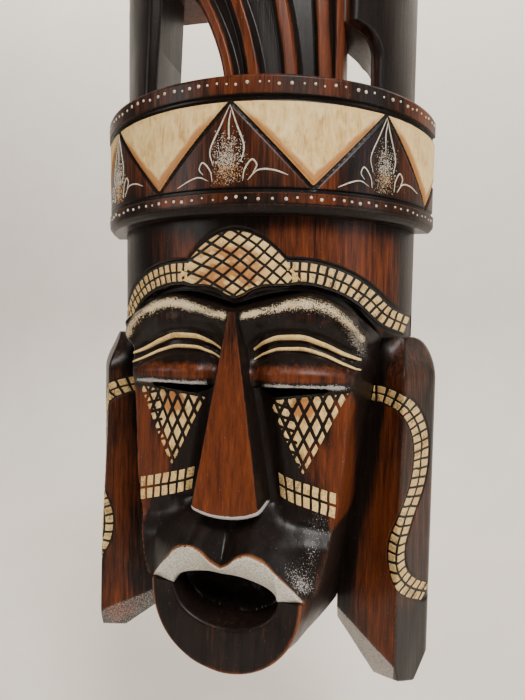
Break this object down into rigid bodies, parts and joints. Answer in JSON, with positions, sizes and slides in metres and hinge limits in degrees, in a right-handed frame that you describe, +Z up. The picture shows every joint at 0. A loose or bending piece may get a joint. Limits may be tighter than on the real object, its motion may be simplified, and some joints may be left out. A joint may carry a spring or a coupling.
{
  "type": "carved wooden mask",
  "caption": "Tall carved wooden wall mask with headband, pierced crown, wing-like ears and inlaid cream bands, hung by a hinged ring recessed in its flat back.",
  "frame": {"origin": "the hanging point: where a nail in the wall bears on the inside of the ring's bow, on the plane of the wall", "axes": "+X to the viewer's right, +Z up, the face looks along -Y and the flat back lies on Y = 0"},
  "size_m": [0.2, 0.085, 0.4365],
  "materials": {
    "brown_wood": "dark red-brown stain under semi-gloss varnish",
    "dark_wood": "near-black stain under semi-gloss varnish, rubbed through on edges",
    "speckled_wood": "pale speckled paint with an orange worn edge",
    "cream_panel": "brushed cream filler, antiqued towards its edges",
    "cream_inlay": "cream filler scored with dark lines",
    "dowel_wood": "plain beech",
    "hanger_steel": "zinc-plated, dull"
  },
  "bodies": {
    "mask": {"forehead_block": "brown_wood", "face_block": "dark_wood", "nose": "brown_wood", "upper_lip": "speckled_wood", "lower_lip": "dark_wood", "ear_left": "brown_wood", "ear_right": "brown_wood", "headband": "brown_wood", "band_panel_1": "cream_panel", "band_panel_2": "cream_panel", "band_panel_3": "cream_panel", "band_panel_4": "cream_panel", "forehead_crest": "cream_inlay", "forehead_band_left": "cream_inlay", "forehead_band_right": "cream_inlay", "lid_lines_left": "cream_inlay", "lid_lines_right": "cream_inlay", "eye_lattice_left": "cream_inlay", "eye_lattice_right": "cream_inlay", "cheek_patch_left": "cream_inlay", "cheek_patch_right": "cream_inlay", "ear_ribbon_left": "cream_inlay", "ear_ribbon_right": "cream_inlay", "crown_trunk": "brown_wood", "crown_post_left": "brown_wood", "crown_post_right": "brown_wood", "crown_cap": "brown_wood", "crown_dowels": "dowel_wood", "ear_dowels": "dowel_wood", "hanger_strap": "hanger_steel", "hanger_screws": "hanger_steel"},
    "ring": {"hanger_ring": "hanger_steel"}
  },
  "joints": [
    {"name": "ring_swing", "type": "hinge", "parent": "mask", "child": "ring", "pos_m": [0, -0.00256, -0.008], "axis": [-1, 0, 0], "range_deg": [0, 150]}
  ]
}
